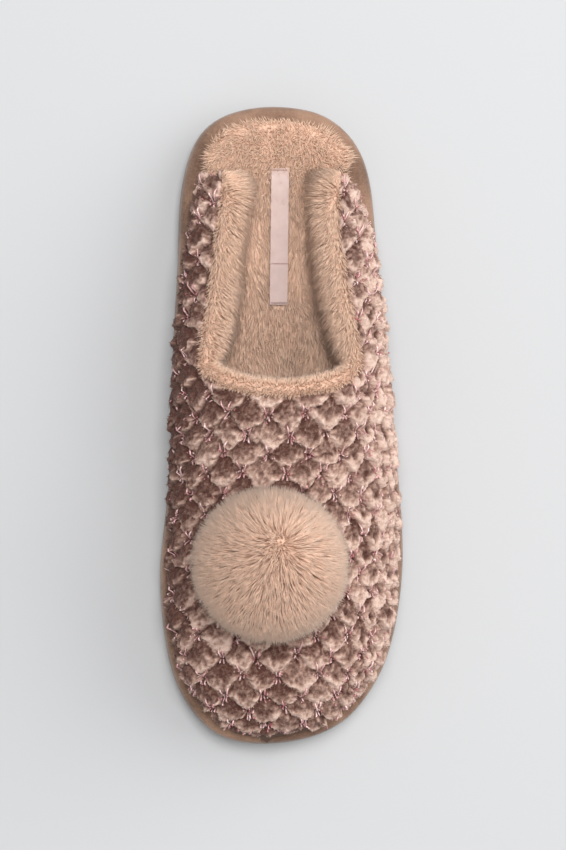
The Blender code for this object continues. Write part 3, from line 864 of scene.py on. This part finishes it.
def lay_on_fabric(u, v, height):
    """Points at a height over the knit's mean face, turned in over the collar and stopped at the rim."""
    base, normal = read(fabric, u, v), unit(read(fabric_normal, u, v))
    above_seam = base[..., 2] - deck(share_at(base[..., 1]))
    height = np.maximum(height - SEAM_DROP * (1 - ease(0.0, SEAM_HEIGHT, above_seam)), KNIT_LOWEST)
    height = height - drawn_in(share_at(base[..., 1]), above_seam)
    flat = (base + normal * height[..., None]).reshape(-1, 3)
    nearest, depth = nearest_on_collar(flat[:, :2])
    over = depth > 0
    edge = collar_edge[nearest[over]]
    top = upper_height(edge[:, 0], edge[:, 1])
    raised = flat[over, 2] - upper_height(flat[over, 0], flat[over, 1])
    inward = unit(flat[over, :2] - edge)
    turned_in = np.minimum(depth[over], KNIT_TURNED_IN) + np.clip(raised * 0.4, 0, 0.0004)
    flat[over, :2] = edge + inward * turned_in[:, None]
    flat[over, 2] = top + raised * 0.6 - 0.9 * depth[over]
    flat[:, 2] = np.maximum(flat[:, 2], deck(share_at(flat[:, 1])) - 0.0006)
    return flat.reshape(base.shape)


def on_knit(u, v, past_collar, above_rim):
    """Whether a spot of the fabric is on the slipper, and not too far into the opening or under the rim."""
    inside_grid = (np.abs(u) < (REACH - 2) * STEP) & (v > v_grid[0]) & (v < v_grid[-1])
    i = np.clip(np.round(v / STEP - V_STEPS[1]).astype(int), 0, len(v_grid) - 1)
    k = np.clip(np.round(u / STEP + REACH).astype(int), 0, 2 * REACH)
    spot = read(fabric, u, v)
    depth = nearest_on_collar(spot[:, :2])[1]
    high_enough = spot[:, 2] > deck(share_at(spot[:, 1])) + above_rim
    return inside_grid & known[i, k] & (depth < past_collar) & high_enough


def wander(spots, seed):
    """How far the yarn strays sideways from its even rows, in metres."""
    return 0.0026 * noise_at(spots, 70, seed) + 0.0018 * noise_at(spots, 210, seed + 1)


def stitch_across(u):
    """The place across in even columns of stitches, which are drawn closer together on the outer side."""
    return u + SQUEEZE * np.maximum(u - SQUEEZED_FROM, 0) ** 2


stitch_chance = rng.uniform(size=(4, 64, 64))


def bump(distance, width):
    """A rounded rise: 1 at distance 0, and nearly 0 beyond twice the width."""
    return np.exp(-((distance / width) ** 2))


def stitch_relief(u, v):
    """At places of the fabric: the knit's height, how pale it is with its painted highlights and shade, and
    how far the legs sag.
    """
    spots = np.column_stack([u, v, np.zeros(len(u))])
    u = stitch_across(u + wander(spots, 12))
    v = v + wander(spots, 14)
    a, b = (u - FIRST_FOOT[0]) / CELL, (v - FIRST_FOOT[1]) / CELL
    p, q = (b + a) / 2, (b - a) / 2
    near_u = ((p - np.round(p)) - (q - np.round(q))) * CELL
    near_v = ((p - np.round(p)) + (q - np.round(q))) * CELL
    near_edge = np.maximum(np.abs(p - np.round(p)), np.abs(q - np.round(q)))
    foot_number = 3.7 * np.round(p) + 9.1 * np.round(q)
    i, j = np.floor(p).astype(int), np.floor(q).astype(int)
    p, q = p - i, q - j
    plump, dip, pleat, tone = (stitch_chance[k, i % 64, j % 64] for k in range(4))
    soft = 5.5
    low = np.maximum(-np.log(np.exp(-soft * p) + np.exp(-soft * q)) / soft, 0) * STITCH_WIDTH
    high = np.minimum(1 - p, 1 - q) * STITCH_WIDTH
    folds = noise_at(spots, 330, 16)
    crumple = noise_at(spots, 760, 17)
    patch = noise_at(spots, 170, 18)
    speck = noise_at(spots, 1300, 19)
    foot = np.hypot(near_u, near_v)
    around = np.arctan2(near_u, near_v)
    spokes = np.column_stack([3.2 * np.cos(around), 3.2 * np.sin(around), foot / 0.0065 + foot_number])
    gathers = noise_at(spokes, 1.0, 20) * ease(0.0006, 0.0020, foot) * (1 - ease(0.30, 0.50, near_edge))
    crest = 0.0018 + 0.0007 * patch
    leg = bump(low - crest, 0.0014)
    wall = np.sin(math.pi / 2 * np.clip((low + 0.0007 * folds + 0.0004 * crumple) / 0.0018, 0, 1)) ** 0.8
    middle = ease(0.0024, 0.0048, low + 0.0012 * folds)
    tuck = ease(-0.0006, 0.0036, high + 0.0009 * folds)
    crease = bump((p - q) * CELL, 0.0007) * (1 - ease(0.25, 0.85, p + q))
    body = wall * tuck * (1 - (0.10 + 0.45 * dip) * middle) * (0.72 + 0.56 * plump)
    height = STITCH_RELIEF * (0.24 + 0.76 * body)
    height -= 0.0010 * pleat * crease
    height += (0.0009 * (0.42 - np.abs(folds)) + 0.00060 * crumple) * (0.5 + 0.5 * wall) + 0.00080 * gathers
    height -= 0.0010 * bump(foot, 0.0016)
    closer = 1 + 2 * SQUEEZE * np.maximum(spots[:, 0] - SQUEEZED_FROM, 0)
    slit = bump(near_u / closer, 0.0007) * bump(near_v + 0.0014, 0.0015)
    toward_outer_side = ease(0.012, 0.050, spots[:, 0])
    pit = bump((p - q) * CELL / closer, 0.0008) * bump((p + q - 1.0) * CELL, 0.0015)
    pit = pit * toward_outer_side * ease(0.30, 0.45, dip)
    height -= 0.0022 * slit + 0.0018 * pit
    # Paleness: painted highlights on the legs, rims, raised folds, crumples and gathers; painted shade in
    # the middles, under the tucks and in the slits, pits and creases. Patches, specks and each stitch's tone
    # vary at random.
    fold_light = bump(folds, 0.16)
    # A painted highlight along each leg's lower rim.
    rim = bump(low - 0.0009, 0.0007) * tuck
    # How far toward the inner side, which is painted in shade.
    shaded_inner_side = ease(0.022, 0.062, -spots[:, 0])
    pale = 0.31 + 0.28 * leg * tuck + 0.42 * rim - 0.34 * middle * (0.2 + dip) - 0.20 * (1 - tuck)
    pale += 0.18 * patch + 0.24 * (fold_light - 0.35) + 0.34 * crumple + 0.24 * speck + 0.26 * (tone - 0.5)
    pale += 0.60 * gathers - 0.9 * (slit + pit) - 0.15 * pleat * crease
    # Painted light: the outer side is painted paler and the inner side darker, as if lit from the outer
    # side.
    pale += 0.36 * toward_outer_side - 0.98 * shaded_inner_side
    pale = 0.5 + 0.5 * np.tanh(2.4 * (pale - 0.52))
    return height - STITCH_RELIEF + KNIT_PROUD, pale, -0.0007 * leg * tuck


KNIT_ACROSS, KNIT_ALONG = 0.196, v_grid[-1] - v_grid[0]
columns, lines = int(KNIT_ACROSS / KNIT_STEP), int(KNIT_ALONG / KNIT_STEP)
sheet = bmesh.new()
bmesh.ops.create_grid(sheet, x_segments=columns, y_segments=lines, size=0.5)
spots = np.array([vert.co[:2] for vert in sheet.verts])
u = spots[:, 0] * KNIT_ACROSS
v = (spots[:, 1] + 0.5) * KNIT_ALONG + v_grid[0]
off = ~on_knit(u, v, 0.0035, -0.0015)
sheet.verts.ensure_lookup_table()
bmesh.ops.delete(sheet, geom=[sheet.verts[i] for i in np.flatnonzero(off)], context="VERTS")
u, v = u[~off], v[~off]
height, pale, slide = stitch_relief(u, v)
for vert, spot in zip(sheet.verts, lay_on_fabric(u, v + slide, height).tolist()):
    vert.co = spot
knit_mesh = bpy.data.meshes.new("chenille_knit")
sheet.to_mesh(knit_mesh)
sheet.free()
set_values(knit_mesh, "pale", pale)
knit_mesh.shade_smooth()
chenille = Finish("Taupe chenille", (0.36, 0.22, 0.175), 0.9, Sheen_Weight=0.12, Sheen_Roughness=0.35)
chenille.shader.inputs["Sheen Tint"].default_value = (1.0, 0.72, 0.64, 1)
pile = chenille.grain(1700.0, 2.0, 0.6)
tufts = chenille.grain(560.0, 3.0, 0.6)
# The knit's paleness, with its painted highlights and shade and fine random pile, runs the colour from dark
# shade through mid taupe to pale.
tone_and_painted_light = (chenille.attribute("pale") + (tufts - 0.5) * 0.5 + (pile - 0.5) * 0.3).kept_in()
shade_to_mid = chenille.mixed((tone_and_painted_light * 2.0).kept_in(), (0.095, 0.034, 0.024), (0.465, 0.300, 0.245))
chenille.feed("Base Color", chenille.mixed((tone_and_painted_light * 2.0 - 1.0).kept_in(), shade_to_mid, (0.83, 0.625, 0.54)))
chenille.relief(pile * 0.7 + tufts * 1.3, 0.0006)
knit_mesh.materials.append(chenille.material)
settle(link("chenille_knit", knit_mesh), "chenille_knit")

# The pile that stands off the chenille: short stray fibres all over the knit, which soften its edges.
# They are part of the yarn and lean out of it in all directions, mostly toward the toe.
FUZZ_HAIRS = 26000
FUZZ_THICKNESS = 0.00032
fuzz_u = rng.uniform(-KNIT_ACROSS / 2, KNIT_ACROSS / 2, 3 * FUZZ_HAIRS)
fuzz_v = rng.uniform(v_grid[0], v_grid[-1], 3 * FUZZ_HAIRS)
on = on_knit(fuzz_u, fuzz_v, -0.0010, 0.0005)
fuzz_u, fuzz_v = fuzz_u[on][:FUZZ_HAIRS], fuzz_v[on][:FUZZ_HAIRS]
height, pale, slide = stitch_relief(fuzz_u, fuzz_v)
roots = lay_on_fabric(fuzz_u, fuzz_v + slide, height - 0.0002)
aims = unit(read(fabric_normal, fuzz_u, fuzz_v)) * 0.8 + rng.normal(0, 0.5, roots.shape)
aims[:, 1] -= 0.35
aims = unit(aims)
lengths = rng.uniform(0.0007, 0.0014, len(roots))
corners = hair_ring(roots, *crossways(aims), FUZZ_THICKNESS / 2) + [roots + aims * lengths[:, None]]
fuzz_points = np.stack(corners, axis=1).reshape(-1, 3)
fuzz_faces = repeat_faces(((2, 1, 0), (0, 1, 3), (1, 2, 3), (2, 0, 3)), 4, len(roots))
# The fibres take the knit's paleness, painted highlights and shade included, with a random spread.
fuzz_pale = np.clip(pale + rng.normal(0, 0.12, len(pale)), 0, 1)
fibre = Finish("Chenille fibre", (0.4, 0.25, 0.2), 0.9)
fibre.feed("Base Color", fibre.mixed(fibre.attribute("pale"), (0.11, 0.048, 0.036), (0.84, 0.63, 0.55)))
fuzz = link_mesh("chenille_fuzz", fuzz_points, fuzz_faces, fibre.material, {"pale": np.repeat(fuzz_pale, 4)})
settle(fuzz, "chenille_knit")

# The metallic thread: a fine pink thread knitted in with the chenille. It shows at the feet of the
# stitches, as pairs of bright ticks over a small dark gap with short glints strewn round them.
feet = []
for j in range(int(v_grid[0] / CELL) - 1, int(v_grid[-1] / CELL) + 2):
    for i in range(-8, 16):
        feet.append((CELL * (2 * i + (j % 2)) + FIRST_FOOT[0], CELL * j + FIRST_FOOT[1]))
feet = np.array(feet)
line_across = np.arange(-REACH, REACH) * STEP
feet[:, 0] = np.interp(feet[:, 0], stitch_across(line_across), line_across)
flat_feet = np.column_stack([feet, np.zeros(len(feet))])
feet -= np.column_stack([wander(flat_feet, 12), wander(flat_feet, 14)])
feet = feet[on_knit(feet[:, 0], feet[:, 1] + 0.001, -0.0010, 0.0005)]
TICK_STATIONS = 4
TICK_SIDES = 4
SHORT_TICKS, FEW_SHORT_TICKS = 10, 3
LEG_TICK, FOOT_TICK = 0.0040, 0.0020
SIDE_FROM = 0.046
ticks = []
for u0, v0 in feet:
    on_side = abs(u0) > SIDE_FROM
    for direction, reach in ((1, LEG_TICK), (-1, FOOT_TICK)):
        for tick_side in (-1, 1):
            if rng.random() < (0.35 if on_side else 0.85):
                start = u0 + tick_side * 0.00055 + rng.normal(0, 0.0002)
                splay = tick_side * rng.uniform(0.10, 0.42)
                length = reach * rng.uniform(0.6, 1.25) * (0.7 if on_side else 1.0)
                ticks.append((start, v0 + direction * 0.0004, splay, direction, length,
                              rng.uniform(0.00030, 0.00046), rng.uniform(0.45, 1.2)))
    few = on_side or rng.random() < 0.2
    # Most short ticks get dark rose tones; the rest get pale tones as painted glints.
    for _ in range(FEW_SHORT_TICKS if few else SHORT_TICKS):
        ticks.append((u0 + rng.normal(0, 0.0011), v0 + 0.0002 + rng.normal(0, 0.0013), rng.normal(0, 0.7),
                      rng.choice((-1, 1)), rng.uniform(0.0005, 0.0011), rng.uniform(0.00022, 0.00038),
                      rng.uniform(0.0, 0.5) if rng.random() < 0.6 else rng.uniform(0.8, 1.2)))
u0, v0, splay, direction, reach, thin, tick_tone_and_glint = np.array(ticks).T[:, :, None, None]
share = np.linspace(0, 1, TICK_STATIONS)[None, :, None]
turn = (np.arange(TICK_SIDES) / TICK_SIDES * 2 * math.pi)[None, None, :]
middle_u = u0 + splay * reach * share**1.3 + 0 * turn
tick_u = middle_u + thin * np.cos(turn)
tick_v = v0 + direction * reach * share + 0 * turn
under = stitch_relief(middle_u.ravel(), tick_v.ravel())[0].reshape(tick_u.shape)
arch = 0.0004 + 0.0008 * np.sin(math.pi * share) - 0.0004 * share**3
arch = np.where(np.abs(u0) > SIDE_FROM, 0.35, 1.0) * arch
tick_points = lay_on_fabric(tick_u, tick_v - 0.0003, under + arch + thin * (0.5 + np.sin(turn)))
last = (TICK_STATIONS - 1) * TICK_SIDES
tick_pattern = [tuple(range(TICK_SIDES))[::-1], tuple(range(last, last + TICK_SIDES))]
for low in range(0, last, TICK_SIDES):
    for i in range(TICK_SIDES):
        j = (i + 1) % TICK_SIDES
        tick_pattern.append((low + i, low + j, low + TICK_SIDES + j, low + TICK_SIDES + i))
tick_faces = repeat_faces(tick_pattern, TICK_STATIONS * TICK_SIDES, len(ticks))
lurex = Finish("Pink metallic thread", (0.95, 0.60, 0.57), 0.32, Metallic=0.40)
glint = lurex.grain(2600.0, 1.0)
# The thread's pink runs from dark rose to pale pink, with painted glints where the tone and the fine grain
# run high.
lurex_tone_and_glint = lurex.attribute("tone") * 0.8 + glint * 0.3
lurex.feed("Base Color", lurex.mixed(lurex_tone_and_glint, (0.52, 0.10, 0.14), (1.0, 0.74, 0.73)))
lurex.relief(glint, 0.0002)
metallic_thread = link_mesh("metallic_thread", tick_points.reshape(-1, 3), tick_faces, lurex.material,
                            {"tone": np.repeat(tick_tone_and_glint.ravel(), TICK_STATIONS * TICK_SIDES)})
settle(metallic_thread, "chenille_knit")

# The fur at the collar: the lining is turned up past the knit's edge and stands along it as a soft
# roll, from one wing to the other. Its hairs stand out round the roll, lean toward the heel on the
# wings and close over its two ends.
ROLL_WIDTH_AT_THROAT = 0.0074
ROLL_WIDTH_ON_WINGS = 0.0088
ROLL_HEIGHT = 0.0090
ROLL_STAND = 0.0015
ROLL_START = 0.110
ROLL_SIDES = 12
ROLL_HAIRS = 12000
ROLL_END_HAIRS = 700
ROLL_END_SAMPLES = 13
CORE = 0.62
roll_line = collar_edge[share_at(collar_edge[:, 1]) > ROLL_START]
roll_ahead = unit(np.gradient(roll_line, axis=0))
roll_inward = np.stack([roll_ahead[:, 1], -roll_ahead[:, 0]], axis=1)
roll_width = smooth([0.10, 0.36, 0.44, 1.0], [ROLL_WIDTH_ON_WINGS] * 2 + [ROLL_WIDTH_AT_THROAT] * 2)
place_on_roll = np.linspace(0, 1, len(roll_line))
end = np.clip(np.minimum(place_on_roll, 1 - place_on_roll) / 0.07, 0, 1)
roll_swell = 0.35 + 0.65 * np.sqrt(1 - (1 - end) ** 2)
half_wide = roll_width(share_at(roll_line[:, 1])) / 2 * roll_swell
half_high = ROLL_HEIGHT / 2 * roll_swell
roll_floor = insole_top(share_at(roll_line[:, 1])) + GAP + half_high
roll_z = np.maximum(upper_height(roll_line[:, 0], roll_line[:, 1]) + ROLL_STAND - half_high, roll_floor)
roll_centre = np.column_stack([roll_line + roll_inward * (GAP + half_wide)[:, None], roll_z])
inward3 = np.column_stack([roll_inward, np.zeros(len(roll_line))])
ahead3 = np.column_stack([roll_ahead, np.zeros(len(roll_line))])


def round_roll(i, angle):
    """From the roll's middle to its fur's mean face, at places along its line and angles round it."""
    offset = inward3[i] * (half_wide[i] * np.cos(angle))[:, None]
    offset[:, 2] += half_high[i] * np.sin(angle)
    return offset


angles = 2 * math.pi * np.arange(ROLL_SIDES) / ROLL_SIDES
rings = []
for i in range(0, len(roll_line), 2):
    rings.append(roll_centre[i] + CORE * round_roll(np.full(ROLL_SIDES, i), angles))
roll_core = finish_mesh(raise_rings(rings), "collar_roll", insole_cloth.material)
settle(roll_core, "lining_fur", "collar_fur")
pick = rng.integers(0, len(roll_line), ROLL_HAIRS)
pick[:ROLL_END_HAIRS] = rng.integers(0, 5, ROLL_END_HAIRS)
pick[ROLL_END_HAIRS:2 * ROLL_END_HAIRS] = len(roll_line) - 1 - rng.integers(0, 5, ROLL_END_HAIRS)
angle = rng.uniform(-1.2, math.pi + 0.6, ROLL_HAIRS)
outward = round_roll(pick, angle)
here_inward, here_ahead = inward3[pick], ahead3[pick]
slide = rng.uniform(-0.6, 0.6, ROLL_HAIRS) * 0.0012
roots = roll_centre[pick] + outward * CORE * 0.95 + here_ahead * slide[:, None]
wobble = noise_at(roots, 130, 7)
to_inside = np.clip(np.cos(angle), 0, 1)
to_knit = np.clip(-np.cos(angle), 0, 1)
on_wing = 1 - ease(0.34, 0.44, share_at(roots[:, 1]))
at_end = np.clip(1 - np.minimum(pick, len(roll_line) - 1 - pick) / ROLL_END_SAMPLES, 0, 1)
past_end = np.where(pick < len(roll_line) / 2, -1, 1) * at_end
aims = unit(outward) + here_ahead * (0.40 * wobble)[:, None] + rng.normal(0, 0.11, (ROLL_HAIRS, 3))
aims += here_ahead * (0.9 * past_end + rng.normal(0, 0.3, ROLL_HAIRS) * at_end)[:, None]
aims += here_inward * (0.45 * on_wing)[:, None]
aims[:, 1] -= 0.22 * on_wing * (1 - at_end)
aims[:, 2] += 0.25 * (1 - on_wing)
bends = here_ahead * (0.35 * noise_at(roots, 80, 8))[:, None]
bends[:, 1] -= 0.45 * on_wing * (1 - at_end)
bends[:, 2] -= 0.15 + 0.45 * to_inside
bends += here_inward * (0.7 * at_end)[:, None]
lengths = (half_wide[pick] * 0.62 + 0.0016) * rng.uniform(0.8, 1.15, ROLL_HAIRS)
lengths *= (1 + 0.9 * to_inside * on_wing) * (1 - 0.40 * to_knit * (1 - on_wing))
tones = np.clip(0.55 + 0.35 * wobble + rng.normal(0, 0.10, ROLL_HAIRS), 0, 1)
roll_fur = grow_fur("collar_roll_fur", roots, aims, bends, lengths, PLUSH_THICKNESS, tones, plush)
settle(roll_fur, "lining_fur")

# The lining: the same plush inside the wings and the mouth of the vamp, glued to the backing. Its
# pile lies downward.
LINING_HAIRS = 7000
LINING_DEPTH = 0.0026
LINING_THICKNESS = 0.00036
u = rng.uniform(-0.085, 0.085, 12 * LINING_HAIRS)
v = rng.uniform(-0.010, v_grid[-1], 12 * LINING_HAIRS)
spot = read(fabric, u, v)
depth = nearest_on_collar(spot[:, :2])[1]
keep = on_knit(u, v, -0.0002, 0.004) & (depth > -0.030)
u, v = u[keep][:LINING_HAIRS], v[keep][:LINING_HAIRS]
normal = unit(read(fabric_normal, u, v))
roots = read(fabric, u, v) - normal * LINING_DEPTH
aims = -normal * 0.9 + np.array([0, 0, -0.7]) + rng.normal(0, 0.25, roots.shape)
bends = np.tile([0, 0.1, -0.3], (len(roots), 1)) + rng.normal(0, 0.1, roots.shape)
lengths = rng.uniform(0.0030, 0.0045, len(roots))
tones = np.clip(0.4 + rng.normal(0, 0.2, len(roots)), 0, 1)
lining = grow_fur("lining_fur", roots, aims, bends, lengths, LINING_THICKNESS, tones, plush)
settle(lining, "lining_fur")

# The pompom: a ball of long dense fur, sewn to the vamp through its middle. The hairs stand out all
# round and part on top, a little nearer the throat and the outer side than the ball's centre.
POMPOM_RADIUS = 0.0265
POMPOM_HALF_HEIGHT = 0.0235
POMPOM_STAND = 0.0180
LOCK_LENGTH = 0.0035
POMPOM_HAIRS = 19500
POMPOM_TUFTS = 1100
POMPOM_CORE = np.array([0.0233, 0.0233, 0.0210])
POMPOM_ROOTS = np.array([0.0229, 0.0229, 0.0206])
POMPOM_PILE = 0.0088
POMPOM_HAIR_THICKNESS = 0.00038
TRIMMED_OFF = 0.0031
PARTING_FROM_CENTRE = Vector((0.0048, 0.0130, 0.0270))
pompom_x, pompom_y = place((0.7100, -0.146))
pompom_seat = float(upper_height(np.array(pompom_x), np.array(pompom_y)))
pompom_centre = np.array([pompom_x, pompom_y, pompom_seat + POMPOM_STAND])
ball = bmesh.new()
bmesh.ops.create_icosphere(ball, subdivisions=5, radius=1)
for vert in ball.verts:
    spot = pompom_centre + np.array(vert.co) * POMPOM_CORE
    seat = float(upper_height(spot[0], spot[1])) + 0.0006
    vert.co = (spot[0], spot[1], max(spot[2], seat))
pompom_core = finish_mesh(ball, "pompom_core", insole_cloth.material)
settle(pompom_core, "pompom_fur", "pompom")


def on_ball(z, turn):
    """Directions from the ball's centre, by their height and their turn round it."""
    level = np.sqrt(1 - z**2)
    return np.column_stack([level * np.cos(turn), level * np.sin(turn), z])


parting = np.array(PARTING_FROM_CENTRE.normalized())
z = rng.uniform(-0.75, 1, POMPOM_HAIRS)
outward = on_ball(z, rng.uniform(0, 2 * math.pi, POMPOM_HAIRS))
roots = pompom_centre + outward * POMPOM_ROOTS
tuft = np.arange(POMPOM_TUFTS)
tufts_out = on_ball(1 - 2 * (tuft + 0.5) / POMPOM_TUFTS, tuft * math.pi * (3 - math.sqrt(5)))
tufts_out = unit(tufts_out + rng.normal(0, 0.030, tufts_out.shape))
own_tuft = np.concatenate([(part @ tufts_out.T).argmax(axis=1) for part in np.array_split(outward, 20)])
toward_tuft = (tufts_out[own_tuft] - outward) / math.sqrt(4 / POMPOM_TUFTS)
tuft_tone = rng.normal(0, 0.12, POMPOM_TUFTS)[own_tuft]
tuft_turned = rng.normal(0, 0.10, POMPOM_TUFTS)[own_tuft]
combed = unit(outward - parting * (outward @ parting)[:, None])
clump = noise_at(outward, 5.0, 9)
comb = np.clip(np.linalg.norm(outward - parting, axis=1) / 0.50, 0, 1)
aims = outward * 0.62 + combed * (0.78 * comb)[:, None]
aims += np.cross(outward, combed) * (0.46 * clump + tuft_turned)[:, None]
stray = np.where(rng.random(POMPOM_HAIRS) < 0.25, 0.24, 0.07)
aims += rng.normal(0, 1, aims.shape) * stray[:, None] + 0.03 * toward_tuft
bends = combed * 0.22 + np.array([0, 0, -0.12]) + 0.07 * toward_tuft + rng.normal(0, 0.04, aims.shape)
reach = np.array([POMPOM_RADIUS, POMPOM_RADIUS, POMPOM_HALF_HEIGHT]) + LOCK_LENGTH - TRIMMED_OFF
lengths = POMPOM_PILE * rng.uniform(0.85, 1.08, POMPOM_HAIRS)
tips = roots + unit(aims) * lengths[:, None] + bends * lengths[:, None]
beyond = np.linalg.norm((tips - pompom_centre) / reach, axis=1)
lengths *= np.clip(1 / beyond, 0.5, 1.25) * rng.uniform(0.93, 1.05, POMPOM_HAIRS)
# Paler round the ball's sides: a painted highlight at its edge. Clumps and tufts vary at random.
tones = 0.35 + 0.5 * np.sqrt(1 - z**2) ** 3 + 0.18 * clump + tuft_tone
tones = np.clip(tones + rng.normal(0, 0.10, POMPOM_HAIRS), 0, 1)
keep = roots[:, 2] >= upper_height(roots[:, 0], roots[:, 1]) + 0.0015
long_fur = fur_finish("Long beige fur", (0.88, 0.60, 0.455), (0.93, 0.655, 0.51), (0.95, 0.72, 0.585))
pompom_fur = grow_fur("pompom_fur", roots[keep], aims[keep], bends[keep], lengths[keep],
                      POMPOM_HAIR_THICKNESS, tones[keep], long_fur)
settle(pompom_fur, "pompom_fur")
